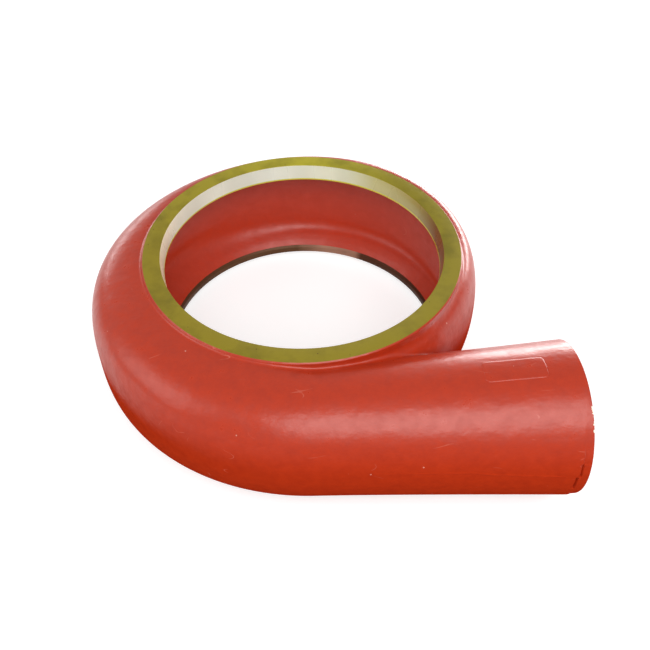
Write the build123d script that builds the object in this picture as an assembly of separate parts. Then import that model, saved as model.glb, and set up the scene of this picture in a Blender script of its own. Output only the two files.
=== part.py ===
from build123d import *
import os
from math import cos, pi, radians, sin, tan

# Volute casing of a slurry pump, cast in one piece.
# Origin on the pump axis in the lower ring face, +Z along the axis, +X the way
# the discharge nozzle points. All sizes in millimetres, angles in degrees
# counted from +X towards +Y.

# The two machined rings that the pump covers seat on.
casing_height = 185.0          # lower ring face to upper ring face
ring_outer_r = 230.0           # machined face, outside
upper_bore_r = 205.5           # upper seat at the face
upper_seat_depth = 25.0
upper_seat_taper = 9.0         # the seat closes in by this angle
lower_bore_r = 208.5           # lower seat, straight
lower_seat_depth = 9.0
cast_corner = 1.5              # cast skin left standing outside each machined face

# The scroll runs from the cutwater round to the nozzle. These are its outer
# sizes at five places spread evenly over that turn.
cutwater_angle = -37.0
outer_radii = (252.0, 273.0, 278.5, 313.5, 345.5)
half_widths = (29.0, 35.0, 53.5, 101.0, 79.0)
half_heights = (78.0, 85.3, 86.0, 87.0, 89.5)
fullness_steps = (2.1, 2.35, 2.35, 3.55, 2.05)
buried_turn = 40.0             # the scroll starts this far back, inside the nozzle root
tongue_tuck = 8.0              # the passage leaves the mouth this gently at the cutwater
passage_inner_r = 212.0        # the passage reaches in at least this far, so it stays open to the mouth

# The nozzle leaves at a tangent and ends round.
nozzle_length = 330.0          # from the pump axis to the end face
nozzle_end_r = 102.2
nozzle_rise = 1.5              # above 1 the nozzle's height grows late along it
nozzle_bore_r = 75.0
bore_land = 40.0               # straight bore behind the end face
bore_allowance = 1.5           # the cast passage is left this much tighter than the bore
spigot_length = 11.0           # turned outside at the end face
spigot_r = 101.6
cast_end_shift = 0.9           # the cast end sits low and forward of the turned spigot

wall = 24.0                    # at the sides of the passage
wall_over = 28.0               # above and below it
mouth_r = 232.0                # the rings stand in from the passage to their seats
mouth_slope = 23.0             # height of the cast slope from the lower seat into the passage
mouth_shoulder = 10.0          # cast corner under the upper ring
seat_edge_break = 1.0

# The raised pad on top of the nozzle, left plain.
pad_length = 75.0
pad_width = 31.0
pad_height = 2.0
pad_from_end = 44.0
pad_corner = 6.0

mid_z = casing_height / 2
nozzle_y = half_widths[-1] - outer_radii[-1]
section_points = 28
section_step = 15.0            # degrees between the scroll sections
join_angle = 120.0             # the two lofts of the scroll share this section
nozzle_step = 50.0             # between the nozzle sections
over = 1.0                     # cutters run past the faces by this much


def straight(start, end, share):
    return start + (end - start) * share


def through(values, share):
    """Smooth curve through evenly spaced values, for a share from 0 to 1."""
    last = len(values) - 1
    place = min(max(share, 0.0), 1.0) * last
    left = min(int(place), last - 1)
    t = place - left
    before = values[max(left - 1, 0)]
    start = values[left]
    end = values[left + 1]
    after = values[min(left + 2, last)]
    slope_in = (end - before) / 2 if left > 0 else end - start
    slope_out = (after - start) / 2 if left + 2 <= last else end - start
    rise = t * t * (3 - 2 * t)
    return start + (end - start) * rise + slope_in * t * (1 - t) ** 2 - slope_out * t * t * (1 - t)


def oval(plane, half_width, half_height, fullness):
    """Closed superelliptic wire: fullness 2 is an ellipse, more is squarer."""
    points = []
    for step in range(section_points):
        turn = 2 * pi * step / section_points
        across = abs(cos(turn)) / half_width
        up = abs(sin(turn)) / half_height
        reach = (across ** fullness + up ** fullness) ** (-1 / fullness)
        points.append(plane.from_local_coords((reach * cos(turn), reach * sin(turn), 0)))
    return Wire([Edge.make_spline(points, periodic=True)])


def scroll_section(angle, inset, inset_over):
    """Section of the scroll in the half plane at an angle round the pump axis."""
    turn = (angle - cutwater_angle) / (270.0 - cutwater_angle)
    outer_r = through(outer_radii, turn) - inset
    inner_r = outer_r - 2 * (through(half_widths, turn) - inset)
    half_height = through(half_heights, turn) - inset_over
    if inset > 0:
        outer_r -= tongue_tuck * max(1 - 4 * max(turn, 0.0), 0.0) ** 2
        inner_r = min(inner_r, passage_inner_r)
    outward = Vector(cos(radians(angle)), sin(radians(angle)), 0)
    centre = outward * ((outer_r + inner_r) / 2) + Vector(0, 0, mid_z)
    plane = Plane(origin=centre, x_dir=outward, z_dir=(outward.Y, -outward.X, 0))
    return oval(plane, (outer_r - inner_r) / 2, half_height, through(fullness_steps, turn))


def nozzle_section(x, inset, inset_over, end_r):
    """Section of the nozzle: squarish where it leaves the scroll, round at its end."""
    share = x / nozzle_length
    half_width = straight(half_widths[-1] - inset, end_r, share)
    half_height = straight(half_heights[-1] - inset_over, end_r, share ** nozzle_rise)
    fullness = 2 + (fullness_steps[-1] - 2) * (1 - share) ** 2
    shift = cast_end_shift * share if inset <= 0 else 0.0
    plane = Plane(origin=(x, nozzle_y - shift, mid_z - shift), x_dir=(0, -1, 0), z_dir=(-1, 0, 0))
    return oval(plane, half_width, half_height, fullness)


def scroll_loft(first_angle, last_angle, inset, inset_over, nozzle_places=(), end_r=0.0):
    """Solid through the scroll sections, and on along the nozzle where places are given."""
    count = round((last_angle - first_angle) / section_step)
    sections = []
    for step in range(count + 1):
        angle = straight(first_angle, last_angle, step / count)
        sections.append(scroll_section(angle, inset, inset_over))
    for x in nozzle_places:
        sections.append(nozzle_section(x, inset, inset_over, end_r))
    return Part() + Solid.make_loft(sections, ruled=False)


def waterway(inset, inset_over, end_r):
    """The scroll from its buried start, round and out through the nozzle.

    The nozzle is drawn longer than it ends, and faced off square.
    """
    count = round(nozzle_length / nozzle_step) + 1
    nozzle_places = [nozzle_step * step for step in range(1, count + 1)]
    small_half = scroll_loft(cutwater_angle - buried_turn, join_angle, inset, inset_over)
    large_half = scroll_loft(join_angle, 270.0, inset, inset_over, nozzle_places, end_r)
    beyond = extrude(along_nozzle(nozzle_length) * Circle(2 * nozzle_end_r), 3 * nozzle_step)
    return small_half + (large_half - beyond)


def along_nozzle(x):
    """Plane across the nozzle axis at x, looking out along +X."""
    return Plane(origin=(x, nozzle_y, mid_z), x_dir=(0, 1, 0), z_dir=(1, 0, 0))


def ring_core():
    """The turned core that both rings are cut from, with its cast corners."""
    core = Cylinder(
        ring_outer_r + cast_corner, casing_height, align=(Align.CENTER, Align.CENTER, Align.MIN)
    )
    return chamfer(core.edges().filter_by(GeomType.CIRCLE), cast_corner)


def mouth():
    """What the boring bar and the core print leave open along the pump axis."""
    seat_end_r = upper_bore_r - upper_seat_depth * tan(radians(upper_seat_taper))
    seat_end_z = casing_height - upper_seat_depth
    profile = Polyline(
        (0, -over),
        (lower_bore_r, -over),
        (lower_bore_r, lower_seat_depth),
        (mouth_r, lower_seat_depth + mouth_slope),
        (mouth_r, seat_end_z - seat_edge_break - mouth_shoulder),
        (mouth_r - mouth_shoulder, seat_end_z - seat_edge_break),
        (seat_end_r + seat_edge_break, seat_end_z - seat_edge_break),
        (seat_end_r, seat_end_z),
        (upper_bore_r, casing_height),
        (upper_bore_r, casing_height + over),
        (0, casing_height + over),
        close=True,
    )
    return revolve(Plane.XZ * make_face(profile), Axis.Z)


def discharge_bore():
    """Straight bore behind the end face of the nozzle."""
    start = along_nozzle(nozzle_length - bore_land)
    return extrude(start * Circle(nozzle_bore_r), bore_land + over)


def spigot_turning():
    """What the lathe takes off outside at the end of the nozzle."""
    start = along_nozzle(nozzle_length - spigot_length)
    ring = Circle(nozzle_end_r + 4 * cast_end_shift) - Circle(spigot_r)
    return extrude(start * ring, spigot_length + over)


def number_pad():
    """Raised pad on top of the nozzle, a thin skin that follows the cast surface."""
    pad_centre_x = nozzle_length - pad_from_end - pad_length / 2
    outline = Plane((pad_centre_x, nozzle_y, mid_z)) * RectangleRounded(
        pad_length, pad_width, pad_corner
    )
    column = extrude(outline, 2 * nozzle_end_r)
    sections = [
        nozzle_section(nozzle_length * share, -pad_height, -pad_height, nozzle_end_r + pad_height)
        for share in (0.5, 0.75, 1.0)
    ]
    return column & Solid.make_loft(sections, ruled=False)


def build_casing():
    casing = waterway(0.0, 0.0, nozzle_end_r) + ring_core() + number_pad()
    casing -= waterway(wall, wall_over, nozzle_bore_r - bore_allowance)
    casing -= mouth()
    casing -= discharge_bore()
    casing -= spigot_turning()
    return casing


if __name__ == "__main__":
    casing = build_casing()
    casing.label = "volute_casing"
    os.makedirs("parts", exist_ok=True)
    print("volume", casing.volume, "solids", len(casing.solids()), "valid", casing.is_valid)
    export_step(casing, "parts/volute_casing.step")
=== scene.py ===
import bpy
import numpy as np
from mathutils import Matrix, Vector


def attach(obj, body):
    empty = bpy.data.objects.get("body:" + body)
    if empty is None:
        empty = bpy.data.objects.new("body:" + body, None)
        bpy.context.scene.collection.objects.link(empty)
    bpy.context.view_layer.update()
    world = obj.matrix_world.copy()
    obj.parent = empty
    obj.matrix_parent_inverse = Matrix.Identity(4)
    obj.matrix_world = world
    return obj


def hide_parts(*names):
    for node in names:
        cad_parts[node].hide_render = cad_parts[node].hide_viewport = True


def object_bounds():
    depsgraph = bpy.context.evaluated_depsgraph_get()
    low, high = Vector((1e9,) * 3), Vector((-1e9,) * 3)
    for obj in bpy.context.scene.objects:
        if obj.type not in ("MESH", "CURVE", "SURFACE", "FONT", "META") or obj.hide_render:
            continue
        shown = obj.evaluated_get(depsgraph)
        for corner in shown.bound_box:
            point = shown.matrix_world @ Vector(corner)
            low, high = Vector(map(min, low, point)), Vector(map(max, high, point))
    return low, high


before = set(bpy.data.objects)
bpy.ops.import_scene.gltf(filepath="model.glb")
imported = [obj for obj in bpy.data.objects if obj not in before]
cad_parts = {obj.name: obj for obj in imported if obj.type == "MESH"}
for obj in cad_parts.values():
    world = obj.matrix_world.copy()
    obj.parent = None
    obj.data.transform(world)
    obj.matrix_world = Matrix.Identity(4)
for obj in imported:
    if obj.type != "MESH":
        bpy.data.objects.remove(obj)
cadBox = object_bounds()
mm = 0.001
tiny = 1e-9

# Sizes of the casting, in millimetres and degrees, as the solids have them.
casting = {
    "height": 185.0,
    "cutwaterAngle": -37.0,
    "scrollEnd": 270.0,
    "outerRadii": (252.0, 273.0, 278.5, 313.5, 345.5),
    "halfWidths": (29.0, 35.0, 53.5, 101.0, 79.0),
    "halfHeights": (78.0, 85.3, 86.0, 87.0, 89.5),
    "fullness": (2.1, 2.35, 2.35, 3.55, 2.05),
    "nozzleLength": 330.0,
    "nozzleRise": 1.5,
}
scrollStart = casting["scrollEnd"] - 360.0
midZ = casting["height"] / 2
nozzleY = casting["halfWidths"][-1] - casting["outerRadii"][-1]

# The two skins: the painted outside, and the cast passage inside.
# inset, insetOver: how far a skin lies inside the casting, at the sides and above and below.
# tuck, innerR, rounder: how it leaves the mouth at the cutwater, how far in it reaches, and
# how much rounder its sections are there.
# endR, shift, endX: the nozzle's end, how low and forward it is cast, and where the skin stops.
# core, chamfers, cornerSoft: the turned core of the rings and the softness of its corners.
# coreFillet, lowFillet, crotchFillet: at the upper ring, the lower ring, and shell to nozzle.
# facing: 1 looks outwards, -1 into the passage.
outside = {
    "inset": 0.0, "insetOver": 0.0, "tuck": 0.0, "innerR": 1000.0, "rounder": 0.0,
    "endR": 102.2, "shift": 0.9, "endX": 330.0,
    "coreR": 231.5, "coreTop": 185.0, "coreBottom": 0.0,
    "topChamfer": 1.5, "bottomChamfer": 1.5, "cornerSoft": 0.01,
    "coreFillet": 5.0, "lowFillet": 5.0, "crotchFillet": 9.0, "facing": 1.0,
}
passage = {
    "inset": 24.0, "insetOver": 28.0, "tuck": 8.0, "innerR": 212.0, "rounder": 0.3,
    "endR": 73.5, "shift": 0.0, "endX": 290.0,
    "coreR": 235.0, "coreTop": 159.0, "coreBottom": 8.8,
    "topChamfer": 13.0, "bottomChamfer": 26.3, "cornerSoft": 14.0,
    "coreFillet": 6.0, "lowFillet": 17.0, "crotchFillet": 10.0, "facing": -1.0,
}
# Shares of the scroll's turn: the tuck ends at the first, the rounder sections over the others.
fades = {"tuck": 0.25, "rounderFrom": 0.5, "rounderTo": 0.65}
# The fillet at the rings changes from the lower one's to the upper one's between these heights.
neck = {"lowZ": 70.0, "highZ": 115.0}
# The crotch fillet grows in along x where shell and nozzle part, and tightens by a share later.
crotch = {
    "least": 0.01, "growFrom": 35.0, "growTo": 80.0,
    "tighten": 0.7, "tightFrom": 95.0, "tightTo": 135.0,
}
# Behind the pump axis the nozzle falls away by this much per millimetre.
nozzleFall = 4.0


def through(values, share):
    # Smooth curve through evenly spaced values: a cubic between neighbours, whose slopes come
    # from the values on either side.
    values = np.asarray(values, float)
    slopes = np.r_[values[1] - values[0], (values[2:] - values[:-2]) / 2, values[-1] - values[-2]]
    place = np.clip(share, 0.0, 1.0) * (len(values) - 1)
    left = np.minimum(place.astype(int), len(values) - 2)
    t = place - left
    rise = t * t * (3 - 2 * t)
    return (values[left] * (1 - rise) + values[left + 1] * rise
            + slopes[left] * t * (1 - t) ** 2 - slopes[left + 1] * t * t * (1 - t))


def smooth(value, low, high):
    # Zero below low, one above high, with a soft turn at both.
    share = np.clip((value - low) / (high - low), 0.0, 1.0)
    return share * share * (3 - 2 * share)


def hump(value, middle, half):
    # One in the middle, falling away like a bell over the half width.
    return np.exp(-((value - middle) / half) ** 2)


def unit(vectors):
    # Vectors brought to a length of one.
    return vectors / np.maximum(np.linalg.norm(vectors, axis=-1, keepdims=True), tiny)


def scrollLaws(angle, skin):
    # Middle radius, half width, half height and fullness of the scroll at an angle round the
    # pump axis.
    turn = (angle - casting["cutwaterAngle"]) / (casting["scrollEnd"] - casting["cutwaterAngle"])
    outerR = through(casting["outerRadii"], turn) - skin["inset"]
    innerR = outerR - 2 * (through(casting["halfWidths"], turn) - skin["inset"])
    innerR = np.minimum(innerR, skin["innerR"])
    early = np.clip(1 - np.maximum(turn, 0.0) / fades["tuck"], 0.0, 1.0)
    outerR = outerR - skin["tuck"] * early ** 2
    halfHeight = through(casting["halfHeights"], turn) - skin["insetOver"]
    rounder = skin["rounder"] * (1 - smooth(turn, fades["rounderFrom"], fades["rounderTo"]))
    fullness = through(casting["fullness"], turn) - rounder
    return (outerR + innerR) / 2, (outerR - innerR) / 2, halfHeight, fullness


def nozzleLaws(x, skin):
    # Shift, half width, half height and fullness of the nozzle at x: widths grow evenly,
    # heights late.
    share = x / casting["nozzleLength"]
    rise = np.maximum(share, 0.0) ** casting["nozzleRise"]
    rootWidth = casting["halfWidths"][-1] - skin["inset"]
    rootHeight = casting["halfHeights"][-1] - skin["insetOver"]
    halfWidth = rootWidth + (skin["endR"] - rootWidth) * share
    halfHeight = rootHeight + (skin["endR"] - rootHeight) * rise
    fullness = 2 + (casting["fullness"][-1] - 2) * (1 - share) ** 2
    return skin["shift"] * share, halfWidth, halfHeight, fullness


def reach(turn, halfWidth, halfHeight, fullness):
    # Distance from the middle of a superellipse to its rim at a turn from its wide axis.
    across = np.abs(np.cos(turn)) / halfWidth
    up = np.abs(np.sin(turn)) / halfHeight
    return (across ** fullness + up ** fullness) ** (-1 / fullness)


def ovalGap(across, up, halfWidth, halfHeight, fullness):
    # Distance from a superellipse: its norm less one, divided by the slope of that norm.
    a = np.abs(across) / halfWidth + tiny
    b = np.abs(up) / halfHeight + tiny
    norm = (a ** fullness + b ** fullness) ** (1 / fullness)
    slope = np.hypot(a ** (fullness - 1) / halfWidth, b ** (fullness - 1) / halfHeight)
    return (norm - 1) / (slope * norm ** (1 - fullness))


def scrollGap(points, skin):
    # Distance from the scroll, measured in the half plane of each point.
    x, y, z = points[..., 0], points[..., 1], points[..., 2]
    angle = np.mod(np.degrees(np.arctan2(y, x)) - scrollStart, 360.0) + scrollStart
    centreR, halfWidth, halfHeight, fullness = scrollLaws(angle, skin)
    return ovalGap(np.hypot(x, y) - centreR, z - midZ, halfWidth, halfHeight, fullness)


def nozzleGap(points, skin):
    # Distance from the nozzle, measured across it. Behind the pump axis it falls away.
    x, y, z = points[..., 0], points[..., 1], points[..., 2]
    shift, halfWidth, halfHeight, fullness = nozzleLaws(np.maximum(x, 0.0), skin)
    gap = ovalGap(y - nozzleY + shift, z - midZ + shift, halfWidth, halfHeight, fullness)
    return gap + nozzleFall * np.maximum(-x, 0.0)


def ringGap(points, skin):
    # Distance from the turned core: the greater of its side and its 45 degree chamfers, with
    # the corners between them softened.
    side = np.hypot(points[..., 0], points[..., 1]) - skin["coreR"]
    top = points[..., 2] - skin["coreTop"] + skin["topChamfer"]
    bottom = skin["coreBottom"] + skin["bottomChamfer"] - points[..., 2]
    cut = (side + np.maximum(top, bottom)) * 0.5 ** 0.5
    near = np.maximum(skin["cornerSoft"] - np.abs(side - cut), 0.0)
    return np.maximum(side, cut) + near ** 2 / (4 * skin["cornerSoft"])


def filletJoin(a, b, radius):
    # Two distances joined by a round fillet: near both, the distance to a circle that touches
    # the two.
    near = np.hypot(np.maximum(radius - a, 0.0), np.maximum(radius - b, 0.0))
    return np.maximum(radius, np.minimum(a, b)) - near


def neckFillet(points, skin):
    # Radius of the fillet at the rings: a smooth change with height from one to the other.
    upper = smooth(points[..., 2], neck["lowZ"], neck["highZ"])
    return skin["lowFillet"] + (skin["coreFillet"] - skin["lowFillet"]) * upper


def coreGap(points, skin):
    # The turned core and the scroll, filleted at the rings.
    return filletJoin(ringGap(points, skin), scrollGap(points, skin), neckFillet(points, skin))


def shellGap(points, skin):
    # The scroll and the nozzle, filleted at the crotch by a radius that changes with x.
    x = points[..., 0]
    radius = skin["crotchFillet"] * smooth(x, crotch["growFrom"], crotch["growTo"])
    radius = radius * (1 - crotch["tighten"] * smooth(x, crotch["tightFrom"], crotch["tightTo"]))
    return filletJoin(scrollGap(points, skin), nozzleGap(points, skin), crotch["least"] + radius)


def skinGap(points, skin):
    # The whole skin: scroll and nozzle, filleted to the turned core.
    return filletJoin(ringGap(points, skin), shellGap(points, skin), neckFillet(points, skin))


def slopeOf(points, skin):
    # Gradient of the skin's distance, by small steps along each axis.
    step = 0.05
    slope = np.empty(points.shape)
    for axis in range(3):
        shift = np.zeros(3)
        shift[axis] = step
        change = skinGap(points + shift, skin) - skinGap(points - shift, skin)
        slope[..., axis] = change / (2 * step)
    return slope


# How points settle on a skin: the rounds, the longest move in one, and the least slope squared.
# Points of one surface sink over a short way into another, and are left out below the deepest.
settling = {
    "rounds": 8, "longest": 4.0, "leastSlope": 0.2, "sink": 0.3, "sinkOver": 3.0, "deepest": 6.5,
}


def settle(points, skin, ownGap, otherGap):
    # Points go along the gradient on to the skin. Where the other surface owns the skin they
    # sink a little. Those that start deep inside it are marked, so that their faces are left out.
    kept = otherGap(points, skin) > -settling["deepest"]
    for attempt in range(settling["rounds"]):
        slope = slopeOf(points, skin)
        size = np.maximum((slope ** 2).sum(-1), settling["leastSlope"])
        move = slope * (skinGap(points, skin) / size)[..., None]
        length = np.linalg.norm(move, axis=-1, keepdims=True)
        limit = np.minimum(1.0, settling["longest"] / np.maximum(length, tiny))
        points = points - kept[..., None] * move * limit
    normals = unit(slopeOf(points, skin))
    buried = ownGap(points, skin) - otherGap(points, skin)
    sink = settling["sink"] * np.clip(buried / settling["sinkOver"], 0.0, 1.0)
    normals = normals * skin["facing"]
    return points - normals * sink[..., None], normals, kept


def gridFaces(rows, columns, wrapRows=False, wrapColumns=False):
    # Quads of a grid of rows and columns, closed on itself where asked.
    row = np.arange(rows if wrapRows else rows - 1)[:, None]
    column = np.arange(columns if wrapColumns else columns - 1)[None, :]
    nextRow = (row + 1) % rows
    nextColumn = (column + 1) % columns
    return np.stack([
        row * columns + column, nextRow * columns + column,
        nextRow * columns + nextColumn, row * columns + nextColumn,
    ], -1).reshape(-1, 4)


def faceOutwards(points, faces, normals):
    # Turns the quads round where their winding disagrees with the normals.
    corners = points.reshape(-1, 3)[faces]
    winding = np.cross(corners[:, 2] - corners[:, 0], corners[:, 3] - corners[:, 1])
    wrong = (winding * normals.reshape(-1, 3)[faces[:, 0]]).sum(-1) < 0
    faces[wrong] = faces[wrong][:, ::-1]
    return faces


def addObject(name, data):
    made = bpy.data.objects.new(name, data)
    bpy.context.scene.collection.objects.link(made)
    return made


# Edges sharper than this stay sharp on pieces that bring no normals, in degrees.
sharpAngle = 32.0


def addPiece(name, points, faces, material, normals=None):
    # A mesh from arrays in millimetres. Points that no face uses are left out.
    points = points.reshape(-1, 3)
    used = np.unique(faces)
    place = np.zeros(len(points), int)
    place[used] = np.arange(len(used))
    mesh = bpy.data.meshes.new(name)
    mesh.from_pydata(points[used] * mm, [], place[faces].tolist())
    mesh.shade_smooth()
    if normals is None:
        mesh.set_sharp_from_angle(angle=np.radians(sharpAngle))
    else:
        mesh.normals_split_custom_set_from_vertices(normals.reshape(-1, 3)[used].tolist())
    mesh.materials.append(material)
    piece = addObject(name, mesh)
    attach(piece, "root")
    print(name, len(faces), "faces")
    return piece


def addSkin(name, points, normals, kept, material, closed=False):
    # The piece of a settled grid, without the faces that lie deep inside another surface.
    faces = gridFaces(points.shape[0], points.shape[1], wrapColumns=closed)
    faces = faces[kept.ravel()[faces].all(1)]
    return addPiece(name, points, faceOutwards(points, faces, normals), material, normals)


# The scroll's skin: columns round the pump axis, rows down the chamfer, the ring's side and the
# shell, and how much the last two crowd. The tries find where the shell comes out of the core.
scrollGrid = {
    "columns": 520, "cutRows": 10, "coreRows": 12, "shellRows": 42, "coreCrowd": 1.5,
    "shellCrowd": 1.35, "tries": 721,
}


def scrollSkin(name, skin, material):
    # In each half plane: down the chamfer and the ring's side to where the shell meets it, then
    # round the superellipse to the parting plane, and the same below. All but the two end rows,
    # which meet the ring faces, then settle on the skin.
    angle = np.linspace(scrollStart, casting["scrollEnd"], scrollGrid["columns"])[:, None]
    centreR, halfWidth, halfHeight, fullness = scrollLaws(angle, skin)
    tries = np.linspace(0.0, np.pi, scrollGrid["tries"])[None, :]
    radii = centreR + reach(tries, halfWidth, halfHeight, fullness) * np.cos(tries)
    outOfCore = np.minimum((radii > skin["coreR"]).sum(1), scrollGrid["tries"] - 1)
    first = tries[0, outOfCore][:, None]
    share = np.linspace(0.0, 1.0, scrollGrid["shellRows"])[None, :]
    turn = first * (1 - share ** scrollGrid["shellCrowd"])
    rim = reach(turn, halfWidth, halfHeight, fullness)
    shellR = np.maximum(centreR + rim * np.cos(turn), skin["coreR"])
    shellUp = rim * np.sin(turn)
    coreShare = np.linspace(0.0, 1.0, scrollGrid["coreRows"])[None, :-1]
    coreShare = 1 - (1 - coreShare) ** scrollGrid["coreCrowd"]
    cutShare = np.linspace(0.0, 1.0, scrollGrid["cutRows"])[None, :-1]
    halves = []
    for side, end, cut in (
        (1, skin["coreTop"], skin["topChamfer"]),
        (-1, skin["coreBottom"], skin["bottomChamfer"]),
    ):
        meet = midZ + side * shellUp[:, :1]
        corner = end - side * cut
        cutZ = np.repeat(end + (corner - end) * cutShare, len(meet), 0)
        coreZ = np.concatenate([cutZ, corner + (meet - corner) * coreShare], 1)
        radius = np.concatenate([np.full(coreZ.shape, skin["coreR"]), shellR], 1)
        radius[:, :cutShare.size] -= cut * (1 - cutShare)
        halves.append((radius, np.concatenate([coreZ, midZ + side * shellUp], 1)))
    (topR, topZ), (lowR, lowZ) = halves
    radius = np.concatenate([topR, lowR[:, -2::-1]], 1)
    height = np.concatenate([topZ, lowZ[:, -2::-1]], 1)
    around = np.radians(angle)
    points = np.stack([radius * np.cos(around), radius * np.sin(around), height], -1)
    ends = points[:, [0, -1]].copy()
    points, normals, kept = settle(points, skin, coreGap, nozzleGap)
    points[:, [0, -1]] = ends
    return addSkin(name, points, normals, kept, material)


# The nozzle's skin, from just behind the pump axis: its step along x, a finer one from endFrom
# to rimFrom before the end, and the last rows at rimRows before it. Its points crowd on the
# front. Where relief is laid on, and at the end, the normals come from the grid.
nozzleGrid = {
    "startX": -7.5, "step": 2.5, "endFrom": 306.0, "endStep": 0.6, "rimFrom": 1.0,
    "rimRows": (0.6, 0.12), "leastStep": 0.1, "around": 264, "crowding": 0.72,
    "reliefFrom": 20.0, "reliefTo": 60.0, "endShaped": 300.0,
}
# The parting ridge along the front: how far it runs above the nozzle's axis, where and how
# steeply it falls, how it wanders, how uneven it is, and where it fades in and ends.
ridge = {
    "height": 1.1, "half": 0.85, "above": 15.0, "fall": 0.066, "fallFrom": 180.0,
    "slowWander": 0.5, "slowLength": 21.0, "quickWander": 0.3, "quickLength": 7.3,
    "uneven": 0.35, "longWave": 11.0, "shortWave": 4.1,
    "fadeFrom": 40.0, "fadeTo": 170.0, "endFrom": 296.0, "end": 308.0,
}
# The patch left proud at the end, low in front: grooves at upperX and lowerX, which change over
# at the jog, from foot to top in degrees round the nozzle. Beyond upperX it has a lip along its
# top and a step above that. All of it fades out before the end face.
patch = {
    "depth": 3.6, "half": 1.2, "upperX": 318.6, "lowerX": 315.3, "jog": 3.0,
    "top": 15.0, "topEdge": 1.0, "foot": -10.5, "footEdge": 2.0,
    "lip": 0.6, "lipHalf": 0.55, "beyond": 1.0,
    "step": 0.9, "stepEdge": 0.8, "stepFades": (2.0, 14.0),
    "notch": 0.8, "notchHalf": 0.7, "notchLength": 2.4,
    "fadeFrom": 328.5, "fadeTo": 329.6,
}


def gridNormals(points, guide):
    # Normals of a grid that closes round its second axis, from its neighbours, on the side of
    # the guide.
    along = np.gradient(points, axis=0)
    around = np.roll(points, -1, 1) - np.roll(points, 1, 1)
    normals = unit(np.cross(along, around))
    return normals * np.sign((normals * guide).sum(-1, keepdims=True))


def ridgeHeight(x, up):
    # A bell across the ridge's line, which falls and wanders, times its fade along x.
    line = ridge["above"] - ridge["fall"] * np.maximum(x - ridge["fallFrom"], 0.0)
    line = line + (ridge["slowWander"] * np.sin(x / ridge["slowLength"])
                   + ridge["quickWander"] * np.sin(x / ridge["quickLength"] + 1.0))
    fade = smooth(x, ridge["fadeFrom"], ridge["fadeTo"])
    fade = fade * (1 - smooth(x, ridge["endFrom"], ridge["end"]))
    waves = np.sin(x / ridge["longWave"]) * np.sin(x / ridge["shortWave"])
    fade = fade * (1 - ridge["uneven"] + ridge["uneven"] * waves)
    return ridge["height"] * hump(up, line, ridge["half"]) * fade


def patchHeight(x, degree):
    # The lip and its notch, less the step above it and the grooves.
    top, foot = patch["top"], patch["foot"]
    edgeX = np.where(degree > patch["jog"], patch["upperX"], patch["lowerX"])
    within = smooth(degree, foot - patch["footEdge"], foot)
    within = within * (1 - smooth(degree, top, top + patch["topEdge"]))
    groove = hump(x, edgeX, patch["half"]) * within
    beyond = smooth(x, patch["upperX"], patch["upperX"] + patch["beyond"])
    lip = hump(degree, top, patch["lipHalf"]) * beyond
    step = smooth(degree, top, top + patch["stepEdge"]) * beyond
    stepFrom, stepTo = patch["stepFades"]
    step = step * (1 - smooth(degree, top + stepFrom, top + stepTo))
    notch = hump(degree, patch["jog"], patch["notchHalf"])
    notch = notch * hump(x, patch["upperX"], patch["notchLength"])
    marks = patch["lip"] * (lip + patch["notch"] * notch)
    marks = marks - patch["step"] * step - patch["depth"] * groove
    return marks * (1 - smooth(x, patch["fadeFrom"], patch["fadeTo"]))


def nozzleRelief(points):
    # Height of the ridge and the patch at each point of the nozzle. Both are on its front only.
    x, y, z = points[..., 0], points[..., 1], points[..., 2]
    degree = np.degrees(np.arctan2(z - midZ, nozzleY - y))
    return np.where(y < nozzleY, ridgeHeight(x, z - midZ) + patchHeight(x, degree), 0.0)


# The spigot turned at the end of the nozzle: where it starts, its radius, what the row before
# the last is broken by, and the radius at which the last row meets the end face.
spigot = {"fromX": 319.0, "radius": 101.5, "edge": 0.2, "rimR": 100.2}


def turnEnd(points):
    # What the lathe takes off outside at the end: distances from the nozzle's axis are limited.
    away = points[..., 1:] - (nozzleY, midZ)
    radius = np.linalg.norm(away, axis=-1, keepdims=True)
    onSpigot = points[..., :1] > spigot["fromX"]
    limited = np.where(onSpigot, np.minimum(radius, spigot["radius"]), radius)
    limited[-2] -= spigot["edge"]
    limited[-1] = spigot["rimR"]
    return np.concatenate([points[..., :1], away * limited / radius + (nozzleY, midZ)], -1)


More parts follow.
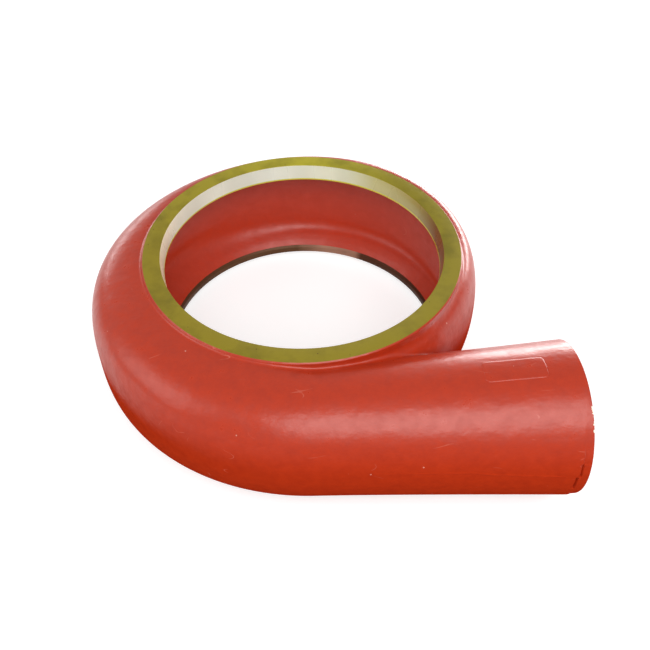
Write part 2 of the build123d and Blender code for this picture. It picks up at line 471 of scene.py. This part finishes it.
def nozzleSkin(name, skin, material):
    # At each x a superellipse round the nozzle's axis, settled on the skin. The outside gets
    # finer rows at its end, its relief and its turned spigot.
    endX = skin["endX"]
    x = np.arange(nozzleGrid["startX"], nozzleGrid["endFrom"], nozzleGrid["step"])
    if skin["facing"] > 0:
        fine = np.arange(nozzleGrid["endFrom"], endX - nozzleGrid["rimFrom"], nozzleGrid["endStep"])
        x = np.r_[x, fine, endX - np.array(nozzleGrid["rimRows"])]
    x = np.r_[x[x < endX - nozzleGrid["leastStep"]], endX][:, None]
    turn = np.linspace(0.0, 2 * np.pi, nozzleGrid["around"] + 1)[:-1][None, :]
    turn = turn - nozzleGrid["crowding"] * np.sin(turn)
    shift, halfWidth, halfHeight, fullness = nozzleLaws(x, skin)
    rim = reach(turn, halfWidth, halfHeight, fullness)
    y = nozzleY - shift - rim * np.cos(turn)
    z = midZ - shift + rim * np.sin(turn)
    points = np.stack([np.broadcast_to(x, rim.shape), y, z], -1)
    points, normals, kept = settle(points, skin, nozzleGap, coreGap)
    behind = np.clip(-x / settling["sinkOver"], 0.0, 1.0)[..., None]
    points = points - normals * settling["sink"] * behind
    if skin["facing"] > 0:
        relief = nozzleRelief(points)
        points = turnEnd(points)
        points = points + normals * relief[..., None]
        shaped = smooth(points[..., 0], nozzleGrid["reliefFrom"], nozzleGrid["reliefTo"])
        shaped = shaped * (points[..., 1] < nozzleY)
        atEnd = smooth(points[..., 0], nozzleGrid["endShaped"], nozzleGrid["endFrom"])
        shaped = np.maximum(shaped, atEnd)
        normals = normals + (gridNormals(points, normals) - normals) * shaped[..., None]
    return addSkin(name, points, normals, kept, material, closed=True)


# How many segments a turned band has.
segments = 360


def turned(name, profile, material, facing, centre=None):
    # A profile of radius and height carried round an axis: the pump axis, or the nozzle's where
    # its centre is given. Facing says how much the band looks away from the axis and along it.
    profile = np.array(profile, float)
    around = np.linspace(0.0, 2 * np.pi, segments, endpoint=False)[:, None]
    across = profile[None, :, 0] * np.cos(around)
    up = profile[None, :, 0] * np.sin(around)
    along = np.broadcast_to(profile[None, :, 1], across.shape)
    lookAcross = np.broadcast_to(np.cos(around) * facing[0], across.shape)
    lookUp = np.broadcast_to(np.sin(around) * facing[0], across.shape)
    lookAlong = np.full(across.shape, facing[1])
    if centre is None:
        points = np.stack([across, up, along], -1)
        normals = np.stack([lookAcross, lookUp, lookAlong], -1)
    else:
        points = np.stack([along, across + centre[0], up + centre[1]], -1)
        normals = np.stack([lookAlong, lookAcross, lookUp], -1)
    faces = gridFaces(segments, len(profile), wrapRows=True)
    return addPiece(name, points, faceOutwards(points, faces, normals), material)


print("shapes ready")


def addNode(tree, kind, x, y, **values):
    made = tree.nodes.new(kind)
    made.location = (x, y)
    for key, value in values.items():
        setattr(made, key, value)
    return made


def newGroup(name, numbersIn, numbersOut):
    # A node group that takes a vector and named numbers, and gives named numbers.
    tree = bpy.data.node_groups.new(name, "ShaderNodeTree")
    tree.interface.new_socket("Vector", in_out="INPUT", socket_type="NodeSocketVector")
    for label in numbersIn:
        tree.interface.new_socket(label, in_out="INPUT", socket_type="NodeSocketFloat")
    for label in numbersOut:
        tree.interface.new_socket(label, in_out="OUTPUT", socket_type="NodeSocketFloat")
    start = addNode(tree, "NodeGroupInput", -1000, 0)
    end = addNode(tree, "NodeGroupOutput", 600, 0)
    return tree, start.outputs, end.inputs


def addGroup(tree, group, vector, x, y, **values):
    made = addNode(tree, "ShaderNodeGroup", x, y)
    made.node_tree = group
    for key, value in values.items():
        made.inputs[key].default_value = value
    tree.links.new(vector, made.inputs["Vector"])
    return made.outputs


def addNoise(tree, vector, scale, detail, roughness, x, y):
    noise = addNode(tree, "ShaderNodeTexNoise", x, y)
    noise.inputs["Scale"].default_value = scale
    noise.inputs["Detail"].default_value = detail
    noise.inputs["Roughness"].default_value = roughness
    tree.links.new(vector, noise.inputs["Vector"])
    return noise.outputs["Fac"]


def addStretch(tree, vector, factors, x, y):
    # Coordinates times a factor for each axis: a pattern is drawn out where the factor is small.
    made = addNode(tree, "ShaderNodeVectorMath", x, y, operation="MULTIPLY")
    made.inputs[1].default_value = factors
    tree.links.new(vector, made.inputs[0])
    return made.outputs[0]


def addSplit(tree, vector, x, y):
    split = addNode(tree, "ShaderNodeSeparateXYZ", x, y)
    tree.links.new(vector, split.inputs[0])
    return split.outputs


def addRange(tree, value, low, high, outLow, outHigh, x, y):
    mapped = addNode(tree, "ShaderNodeMapRange", x, y)
    labels = ("From Min", "From Max", "To Min", "To Max")
    for label, number in zip(labels, (low, high, outLow, outHigh)):
        mapped.inputs[label].default_value = number
    tree.links.new(value, mapped.inputs["Value"])
    return mapped.outputs["Result"]


def addMath(tree, operation, a, b, x, y):
    made = addNode(tree, "ShaderNodeMath", x, y, operation=operation)
    for socket, value in zip(made.inputs, (a, b)):
        if isinstance(value, (int, float)):
            socket.default_value = value
        elif value is not None:
            tree.links.new(value, socket)
    return made.outputs[0]


def addMix(tree, share, a, b, x, y, blend="MIX"):
    # Sockets 0, 6 and 7 are the share and the two colours, and output 2 is the mixed colour.
    mix = addNode(tree, "ShaderNodeMix", x, y, data_type="RGBA", blend_type=blend)
    for socket, value in ((mix.inputs[0], share), (mix.inputs[6], a), (mix.inputs[7], b)):
        if isinstance(value, (int, float, tuple)):
            socket.default_value = value
        else:
            tree.links.new(value, socket)
    return mix.outputs[2]


def addBump(tree, height, strength, distance, shader, x, y):
    bump = addNode(tree, "ShaderNodeBump", x, y)
    bump.inputs["Strength"].default_value = strength
    bump.inputs["Distance"].default_value = distance
    tree.links.new(height, bump.inputs["Height"])
    tree.links.new(bump.outputs["Normal"], shader.inputs["Normal"])


# Patterns that the finishes share: noise scales per metre, and shares of their height.
castSkin = {
    "swell": 34.0, "peel": 230.0, "mottle": 75.0, "brush": 150.0, "brushStretch": (0.16, 1.0, 1.0),
    "fineShare": 0.14,
}
specks = {"thin": 16.0, "thinAbove": 0.6}
scuffs = {
    "curl": 60.0, "stretch": (0.3, 1.0, 0.8), "width": 0.008, "places": 23.0,
    "from": 0.6, "to": 0.68, "strength": 0.8,
}


def makeCastSkin():
    # Height of a sand-cast surface under thick paint: slow swells, then the paint's orange peel
    # and brush marks. The mottle is a slow noise for its colour.
    tree, given, wanted = newGroup("castSkin", ("Swell", "Peel"), ("Height", "Mottle"))
    swell = addNoise(tree, given["Vector"], castSkin["swell"], 2.0, 0.5, -800, 300)
    peel = addNoise(tree, given["Vector"], castSkin["peel"], 2.0, 0.55, -800, 0)
    mottle = addNoise(tree, given["Vector"], castSkin["mottle"], 4.0, 0.6, -800, -300)
    drawn = addStretch(tree, given["Vector"], castSkin["brushStretch"], -1000, -600)
    brush = addNoise(tree, drawn, castSkin["brush"], 3.0, 0.6, -800, -600)
    slow = addMath(tree, "MULTIPLY", swell, given["Swell"], -500, 300)
    fine = addMath(tree, "ADD", peel, brush, -650, 0)
    fine = addMath(tree, "MULTIPLY", fine, given["Peel"], -500, 0)
    fine = addMath(tree, "MULTIPLY", fine, castSkin["fineShare"], -300, 0)
    tree.links.new(addMath(tree, "ADD", slow, fine, 0, 150), wanted["Height"])
    tree.links.new(mottle, wanted["Mottle"])
    return tree


def makeSpecks():
    # Small nicks and rubs: the cores of a cell pattern, thinned by a slow noise.
    tree, given, wanted = newGroup("specks", ("Scale", "Size"), ("Mask",))
    cells = addNode(tree, "ShaderNodeTexVoronoi", -700, 200)
    tree.links.new(given["Vector"], cells.inputs["Vector"])
    tree.links.new(given["Scale"], cells.inputs["Scale"])
    inside = addMath(tree, "LESS_THAN", cells.outputs["Distance"], given["Size"], -450, 200)
    thin = addNoise(tree, given["Vector"], specks["thin"], 2.0, 0.5, -700, -150)
    rare = addMath(tree, "GREATER_THAN", thin, specks["thinAbove"], -450, -150)
    tree.links.new(addMath(tree, "MULTIPLY", inside, rare, -150, 0), wanted["Mask"])
    return tree


def makeScuffs():
    # Thin curling scratches: the contour of a slow noise, kept in a few places only.
    tree, given, wanted = newGroup("scuffs", (), ("Mask",))
    drawn = addStretch(tree, given["Vector"], scuffs["stretch"], -900, 200)
    curl = addNoise(tree, drawn, scuffs["curl"], 0.0, 0.5, -700, 200)
    away = addMath(tree, "SUBTRACT", curl, 0.5, -500, 200)
    away = addMath(tree, "ABSOLUTE", away, None, -350, 200)
    thin = addRange(tree, away, 0.0, scuffs["width"], 1.0, 0.0, -200, 200)
    place = addNoise(tree, given["Vector"], scuffs["places"], 3.0, 0.6, -700, -150)
    rare = addRange(tree, place, scuffs["from"], scuffs["to"], 0.0, scuffs["strength"], -450, -150)
    tree.links.new(addMath(tree, "MULTIPLY", thin, rare, 0, 0), wanted["Mask"])
    return tree


castSkinGroup = makeCastSkin()
specksGroup = makeSpecks()
scuffsGroup = makeScuffs()


def newMaterial(name):
    material = bpy.data.materials.new(name)
    material.use_nodes = True
    tree = material.node_tree
    tree.nodes.clear()
    output = addNode(tree, "ShaderNodeOutputMaterial", 900, 0)
    shader = addNode(tree, "ShaderNodeBsdfPrincipled", 600, 0)
    tree.links.new(shader.outputs[0], output.inputs[0])
    return material, tree, shader


def addPlace(tree):
    return addNode(tree, "ShaderNodeTexCoord", -1200, 0).outputs["Object"]


# Red paint: two reds that mottle, what shows in nicks and scuffs, and its gloss. The roughness
# runs a little either way with the mottle. Swell and peel weigh the two parts of the cast skin,
# and bump is its height in metres.
paint = {
    "colour": (0.455, 0.033, 0.0075, 1), "dull": (0.40, 0.028, 0.007, 1),
    "pale": (0.62, 0.30, 0.24, 1), "scuffed": (0.60, 0.16, 0.11, 1),
    "roughness": 0.31, "lowRoughness": 0.45, "specular": 0.48, "lowSpecular": 0.0,
    "smoother": 0.04, "rougher": 0.07, "roughRange": (0.3, 0.7), "mottleRange": (0.35, 0.7),
    "speckScale": 48.0, "speckSize": 0.05, "swell": 1.0, "peel": 1.0, "bump": 0.0011,
}
passagePaint = dict(
    paint, colour=(0.54, 0.037, 0.008, 1), dull=(0.50, 0.034, 0.008, 1),
    roughness=0.36, lowRoughness=0.36, specular=0.32, lowSpecular=0.45, bump=0.0009,
)
# The gloss grows in between these heights: low faces are matt, so the pale floor leaves their
# colour alone.
matt = {"fromZ": 84.0, "toZ": 150.0}
# Paint knocked off the rim of the nozzle, in front: between two heights, and past a line along
# x that falls short of the reach by up to the ragged length.
chips = {
    "reach": 335.5, "ragged": 12.0, "grain": 330.0, "lowZ": 154.0, "highZ": 178.0,
    "colour": (0.95, 0.90, 0.74, 1),
}


def chipMask(tree, place):
    # One where x and a noise together pass the reach, between the heights, on the front.
    x, y, z = addSplit(tree, place, -900, -600)
    ragged = addNoise(tree, place, chips["grain"], 2.0, 0.6, -900, -800)
    ragged = addMath(tree, "MULTIPLY", ragged, chips["ragged"] * mm, -700, -800)
    near = addMath(tree, "ADD", x, ragged, -500, -700)
    near = addMath(tree, "GREATER_THAN", near, chips["reach"] * mm, -350, -700)
    low = addMath(tree, "GREATER_THAN", z, chips["lowZ"] * mm, -500, -500)
    high = addMath(tree, "LESS_THAN", z, chips["highZ"] * mm, -500, -400)
    front = addMath(tree, "LESS_THAN", y, nozzleY * mm, -500, -300)
    between = addMath(tree, "MULTIPLY", low, high, -300, -450)
    between = addMath(tree, "MULTIPLY", between, front, -150, -450)
    return addMath(tree, "MULTIPLY", near, between, 0, -600)


def makePaint(name, settings, chipped=False):
    # A slow mottle between two reds, nicks, scuffs and chips over it, and the cast skin as bump.
    material, tree, shader = newMaterial(name)
    place = addPlace(tree)
    skin = addGroup(
        tree, castSkinGroup, place, -900, 200,
        Swell=settings["swell"], Peel=settings["peel"],
    )
    nicks = addGroup(
        tree, specksGroup, place, -900, -200,
        Scale=settings["speckScale"], Size=settings["speckSize"],
    )
    mottle = addRange(tree, skin["Mottle"], *settings["mottleRange"], 0.0, 1.0, -600, 300)
    colour = addMix(tree, mottle, settings["colour"], settings["dull"], -350, 300)
    colour = addMix(tree, nicks["Mask"], colour, settings["pale"], -100, 300)
    scratches = addGroup(tree, scuffsGroup, place, -900, -400)
    colour = addMix(tree, scratches["Mask"], colour, settings["scuffed"], 0, 300)
    if chipped:
        colour = addMix(tree, chipMask(tree, place), colour, chips["colour"], 100, 300)
    tree.links.new(colour, shader.inputs["Base Color"])
    height = addSplit(tree, place, -900, 600)[2]
    lowZ, highZ = matt["fromZ"] * mm, matt["toZ"] * mm
    drier = settings["lowRoughness"] - settings["roughness"]
    dry = addRange(tree, height, lowZ, highZ, drier, 0.0, -500, 600)
    smoothest = settings["roughness"] - settings["smoother"]
    roughest = settings["roughness"] + settings["rougher"]
    rough = addRange(tree, skin["Mottle"], *settings["roughRange"], smoothest, roughest, -350, 0)
    tree.links.new(addMath(tree, "ADD", rough, dry, -200, 100), shader.inputs["Roughness"])
    # Squared twice, so that most of the gloss comes near the upper height.
    gloss = addRange(tree, height, lowZ, highZ, 0.0, 1.0, -700, 750)
    gloss = addMath(tree, "MULTIPLY", gloss, gloss, -550, 750)
    gloss = addMath(tree, "MULTIPLY", gloss, gloss, -400, 750)
    glossier = settings["specular"] - settings["lowSpecular"]
    gloss = addMath(tree, "MULTIPLY", gloss, glossier, -250, 750)
    gloss = addMath(tree, "ADD", gloss, settings["lowSpecular"], -100, 750)
    tree.links.new(gloss, shader.inputs["Specular IOR Level"])
    addBump(tree, skin["Height"], 1.0, settings["bump"], shader, 200, -300)
    return material


# Turned metal: its colour, with painted light and painted reflections in it, at places round the
# pump axis, in degrees from +X towards +Y. Dark and detail are for its smears, marks for the size
# of its stains, and below the hem it is yellow.
ringFace = {
    # The olive preservative, with a painted highlight: lighter towards the back, about 85 degrees.
    "colourAndPaintedLight": (
        (-180, (0.31, 0.24, 0.018, 1)), (40, (0.31, 0.25, 0.022, 1)), (85, (0.55, 0.48, 0.040, 1)),
        (120, (0.42, 0.35, 0.032, 1)), (180, (0.31, 0.24, 0.018, 1)),
    ),
    "dark": 0.72, "detail": 4.0, "stretch": (1.0, 1.0, 1.0), "marks": 0.09, "hem": 0.0,
    "roughness": 0.4, "metallic": 0.35, "specular": 0.25,
}
upperTaper = {
    # Painted reflections: near white at the back and left, where the seat would mirror pale
    # surroundings, and dark brown on the right.
    "colourAndPaintedLight": (
        (-180, (0.83, 0.78, 0.55, 1)), (-20, (0.20, 0.10, 0.035, 1)), (8, (0.20, 0.11, 0.035, 1)),
        (28, (0.43, 0.37, 0.11, 1)), (52, (0.62, 0.59, 0.27, 1)), (66, (0.86, 0.88, 0.64, 1)),
        (100, (0.93, 0.96, 0.82, 1)), (150, (0.95, 0.93, 0.76, 1)), (180, (0.85, 0.80, 0.58, 1)),
    ),
    "dark": 0.88, "detail": 1.0, "stretch": (0.6, 0.6, 0.02), "marks": 0.0, "hem": 162.3,
    "roughness": 0.28, "metallic": 0.1, "specular": 0.6,
}
lowerBand = {
    # A painted reflection, a light stripe between 61 and 78 degrees, and painted shade, darkest on
    # the right.
    "colourAndPaintedLight": (
        (-180, (0.11, 0.05, 0.024, 1)), (-20, (0.06, 0.018, 0.008, 1)),
        (58, (0.09, 0.03, 0.012, 1)), (61, (0.40, 0.21, 0.14, 1)), (78, (0.37, 0.19, 0.12, 1)),
        (90, (0.12, 0.055, 0.022, 1)), (180, (0.11, 0.05, 0.024, 1)),
    ),
    "dark": 0.85, "detail": 4.0, "stretch": (1.0, 1.0, 1.0), "marks": 0.0, "hem": 0.0,
    "roughness": 0.4, "metallic": 0.2, "specular": 0.15,
}
# What the three share. The grooves are in radians per metre of radius, and metres deep.
turning = {
    "smear": 26.0, "smearRange": (0.45, 0.68), "marks": 120.0, "stain": (0.11, 0.05, 0.015, 1),
    "yellow": (0.72, 0.66, 0.03, 1), "smoother": 0.08, "rougher": 0.1, "roughRange": (0.3, 0.7),
    "grooves": 9000.0, "grooveStrength": 0.25, "grooveDepth": 0.00006,
}


def makeMetal(name, settings):
    # Turned metal under a preservative: colour round the axis with painted light and painted
    # reflections in it, smears, stains and fine grooves.
    material, tree, shader = newMaterial(name)
    place = addPlace(tree)
    x, y, z = addSplit(tree, place, -1000, -300)
    around = addMath(tree, "ARCTAN2", y, x, -800, 500)
    around = addRange(tree, around, -np.pi, np.pi, 0.0, 1.0, -650, 500)
    # The ramp paints light and reflections round the axis into the colour: painted highlights and
    # painted shade.
    colourAndPaintedLight = addNode(tree, "ShaderNodeValToRGB", -450, 500)
    ramp = colourAndPaintedLight.color_ramp
    while len(ramp.elements) < len(settings["colourAndPaintedLight"]):
        ramp.elements.new(0.5)
    for element, (degree, colour) in zip(ramp.elements, settings["colourAndPaintedLight"]):
        element.position = (degree + 180) / 360
        element.color = colour
    tree.links.new(around, colourAndPaintedLight.inputs["Fac"])
    drawn = addStretch(tree, place, settings["stretch"], -1050, 300)
    smear = addNoise(tree, drawn, turning["smear"], settings["detail"], 0.55, -900, 300)
    shade = addRange(tree, smear, *turning["smearRange"], 1.0, settings["dark"], -650, 300)
    colour = addMix(tree, 1.0, colourAndPaintedLight.outputs["Color"], shade, -150, 400, blend="MULTIPLY")
    stains = addGroup(
        tree, specksGroup, place, -900, 0,
        Scale=turning["marks"], Size=settings["marks"],
    )
    hem = addMath(tree, "LESS_THAN", z, settings["hem"] * mm, -450, 150)
    colour = addMix(tree, hem, colour, turning["yellow"], 0, 450)
    colour = addMix(tree, stains["Mask"], colour, turning["stain"], 100, 300)
    tree.links.new(colour, shader.inputs["Base Color"])
    smoothest = settings["roughness"] - turning["smoother"]
    roughest = settings["roughness"] + turning["rougher"]
    rough = addRange(tree, smear, *turning["roughRange"], smoothest, roughest, -350, 0)
    tree.links.new(rough, shader.inputs["Roughness"])
    shader.inputs["Metallic"].default_value = settings["metallic"]
    shader.inputs["Specular IOR Level"].default_value = settings["specular"]
    squareX = addMath(tree, "MULTIPLY", x, x, -700, -250)
    squareY = addMath(tree, "MULTIPLY", y, y, -700, -400)
    radius = addMath(tree, "ADD", squareX, squareY, -500, -300)
    radius = addMath(tree, "POWER", radius, 0.5, -350, -300)
    grooves = addMath(tree, "MULTIPLY", radius, turning["grooves"], -200, -300)
    grooves = addMath(tree, "SINE", grooves, None, -50, -300)
    addBump(tree, grooves, turning["grooveStrength"], turning["grooveDepth"], shader, 250, -300)
    return material


redPaint = makePaint("redPaint", paint)
nozzlePaint = makePaint("nozzlePaint", paint, chipped=True)
innerPaint = makePaint("innerPaint", passagePaint)
faceFinish = makeMetal("preservedFace", ringFace)
seatFinish = makeMetal("brightSeat", upperTaper)
bandFinish = makeMetal("lowerBand", lowerBand)
print("materials ready")

scrollShell = scrollSkin("scroll_shell", outside, redPaint)
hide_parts("volute_casing")
nozzleSkin("nozzle_shell", outside, nozzlePaint)
scrollSkin("scroll_passage", passage, innerPaint)
nozzleSkin("nozzle_passage", passage, innerPaint)

# Rings: radius and height pairs of each turned or cast band.
rings = {
    "upperFace": [(230.0, 185.0), (206.0, 185.0), (205.6, 184.85), (205.4, 184.5)],
    "upperSeat": [(205.4, 184.5), (201.7, 160.6), (201.9, 160.0)],
    "upperLip": [(201.9, 160.0), (202.5, 159.0), (221.0, 159.0), (222.4, 158.7)],
    "lowerSeat": [
        (212.0, 12.4), (208.6, 9.0), (208.4, 8.6), (208.4, 0.6), (208.7, 0.2), (209.1, 0.0),
        (230.0, 0.0),
    ],
}
turned("upper_face", rings["upperFace"], faceFinish, (-0.3, 1.0))
turned("upper_seat", rings["upperSeat"], seatFinish, (-1.0, 0.0))
turned("upper_lip", rings["upperLip"], innerPaint, (-0.3, -1.0))
turned("lower_seat", rings["lowerSeat"], bandFinish, (-1.0, -0.5))

# Nozzle end: radius and x pairs of the bore and of the end face, which meets the spigot's rim.
nozzleEnd = {
    "bore": [
        (73.3, 289.5), (74.6, 289.9), (75.0, 290.3), (75.0, 329.4), (75.2, 329.8), (75.6, 330.0),
    ],
    "face": [(75.6, 330.0), (100.2, 330.0), (100.4, 329.8)],
}
turned("nozzle_bore", nozzleEnd["bore"], innerPaint, (-1.0, -0.2), (nozzleY, midZ))
turned("nozzle_face", nozzleEnd["face"], redPaint, (0.3, 1.0), (nozzleY, midZ))

# The raised pad on top of the nozzle, left plain. Its rings lie at the edge insets, over the
# width of the rounded edge, then at even insets up to the corner radius, then shrink to a point.
pad = {
    "fromX": 208.0, "toX": 286.5, "middle": 1.8, "halfWidth": 17.3, "corner": 6.0,
    "height": 1.1, "sunk": 0.15, "edge": 2.6, "edgeInsets": (0.0, 0.25, 0.6, 1.0, 1.5, 2.0, 2.6),
    "innerFrom": 3.6, "innerRows": 3, "fillRows": 8, "columns": 160, "beyond": 1.5,
}


def numberPad(material):
    # Rings that shrink from a rounded rectangle to its middle, laid on the nozzle's top and
    # raised by a round edge.
    turn = np.linspace(0.0, 2 * np.pi, pad["columns"], endpoint=False)[None, :]
    halfLength = (pad["toX"] - pad["fromX"]) / 2
    coreLength, coreWidth = halfLength - pad["corner"], pad["halfWidth"] - pad["corner"]
    boxX = np.cos(turn) * halfLength * pad["beyond"]
    boxY = np.sin(turn) * halfLength * pad["beyond"]
    coreX = np.clip(boxX, -coreLength, coreLength)
    coreY = np.clip(boxY, -coreWidth, coreWidth)
    away = np.hypot(boxX - coreX, boxY - coreY)
    inner = np.linspace(pad["innerFrom"], pad["corner"], pad["innerRows"])
    inset = np.r_[pad["edgeInsets"], inner][:, None]
    rise = pad["height"] * np.sqrt(1 - (1 - np.clip(inset / pad["edge"], 0, 1)) ** 2)
    ringX = coreX + (boxX - coreX) / away * (pad["corner"] - inset)
    ringY = coreY + (boxY - coreY) / away * (pad["corner"] - inset)
    fill = np.linspace(1.0, 0.0, pad["fillRows"])[1:, None]
    ringX = np.concatenate([ringX, ringX[-1:] * fill])
    ringY = np.concatenate([ringY, ringY[-1:] * fill])
    rise = np.concatenate([rise, np.full(fill.shape, pad["height"])])
    x = (pad["fromX"] + pad["toX"]) / 2 + ringX
    shift, halfWidth, halfHeight, fullness = nozzleLaws(x, outside)
    across = np.abs(ringY + pad["middle"] + shift) / halfWidth
    top = midZ - shift + halfHeight * (1 - across ** fullness) ** (1 / fullness)
    points = np.stack([x, nozzleY + pad["middle"] + ringY, top + rise - pad["sunk"]], -1)
    faces = gridFaces(points.shape[0], points.shape[1], wrapColumns=True)
    upwards = np.zeros(points.shape) + (0.0, 0.0, 1.0)
    return addPiece("number_pad", points, faceOutwards(points, faces, upwards), material)


numberPad(redPaint)
print("pieces made")

# The camera, from a fit to the two machined rings. Lens and sensor are in millimetres.
camera = {
    "lens": 43.989, "sensor": 36.0, "place": (-0.04182, -0.89672, 0.92261),
    "right": (0.996702, -0.0811, 0.002713), "up": (0.055587, 0.706745, 0.705281),
    "back": (-0.059116, -0.702804, 0.708923),
}
cameraData = bpy.data.cameras.new("camera")
cameraData.lens = camera["lens"]
cameraData.sensor_width = camera["sensor"]
cameraObject = addObject("camera", cameraData)
cameraTurn = Matrix((camera["right"], camera["up"], camera["back"])).transposed().to_4x4()
cameraObject.matrix_world = Matrix.Translation(camera["place"]) @ cameraTurn
bpy.context.scene.camera = cameraObject

# Lamps: place, what they look at, width and height in metres, and power in watts.
lamps = {
    "window": {
        "place": (1.5, 1.8, 0.32), "at": (0.15, -0.1, 0.1),
        "width": 2.1, "height": 0.6, "power": 54.0,
    },
    "farWindow": {
        "place": (-1.3, 1.9, 0.5), "at": (-0.1, 0.0, 0.1),
        "width": 1.0, "height": 0.5, "power": 8.0,
    },
    "front": {
        "place": (0.35, -1.45, 1.6), "at": (0.12, -0.2, 0.1),
        "width": 1.7, "height": 1.2, "power": 29.0,
    },
    "left": {
        "place": (-1.9, -0.4, 1.2), "at": (-0.2, 0.0, 0.1),
        "width": 1.5, "height": 1.3, "power": 13.0,
    },
}
for name, lamp in lamps.items():
    lampData = bpy.data.lights.new(name, "AREA")
    lampData.shape = "RECTANGLE"
    lampData.size = lamp["width"]
    lampData.size_y = lamp["height"]
    lampData.energy = lamp["power"]
    lampObject = addObject(name, lampData)
    aim = Vector(lamp["place"]) - Vector(lamp["at"])
    lampTurn = aim.to_track_quat("Z", "Y").to_matrix().to_4x4()
    lampObject.matrix_world = Matrix.Translation(lamp["place"]) @ lampTurn

# Floor: pale paper, in metres, a little below the casting. What the camera and reflections see
# of it is lifted towards white, and it keeps the casting's shadow. World is the strength of the
# light from all round.
paper = {
    "colour": (0.62, 0.62, 0.62, 1), "roughness": 0.9, "lift": 0.59, "reach": 9.0, "below": 0.0004,
    "world": 0.46,
}
white = (1, 1, 1, 1)
floorZ = cadBox[0][2] - paper["below"]
far = paper["reach"]
floorMesh = bpy.data.meshes.new("floor")
floorMesh.from_pydata(
    [(-far, -far, floorZ), (far, -far, floorZ), (far, far, floorZ), (-far, far, floorZ)],
    [], [(0, 1, 2, 3)],
)
floorMaterial, floorTree, floorShader = newMaterial("floorPaper")
floorShader.inputs["Base Color"].default_value = paper["colour"]
floorShader.inputs["Roughness"].default_value = paper["roughness"]
floorShader.inputs["Specular IOR Level"].default_value = 0.0
floorShader.inputs["Emission Color"].default_value = white
paths = addNode(floorTree, "ShaderNodeLightPath", -300, -300).outputs
seen = addMath(floorTree, "MAXIMUM", paths["Is Camera Ray"], paths["Is Glossy Ray"], -100, -300)
seen = addMath(floorTree, "MAXIMUM", seen, paths["Is Transmission Ray"], 50, -300)
lift = addMath(floorTree, "MULTIPLY", seen, paper["lift"], 200, -300)
floorTree.links.new(lift, floorShader.inputs["Emission Strength"])
floorMesh.materials.append(floorMaterial)
floor = addObject("floor", floorMesh)

world = bpy.data.worlds.new("studio")
bpy.context.scene.world = world
world.use_nodes = True
worldTree = world.node_tree
worldTree.nodes.clear()
worldOutput = addNode(worldTree, "ShaderNodeOutputWorld", 600, 0)
soft = addNode(worldTree, "ShaderNodeBackground", 200, 0)
soft.inputs["Color"].default_value = white
soft.inputs["Strength"].default_value = paper["world"]
worldTree.links.new(soft.outputs[0], worldOutput.inputs[0])

bpy.context.scene.view_settings.view_transform = "Standard"
print("scene done")
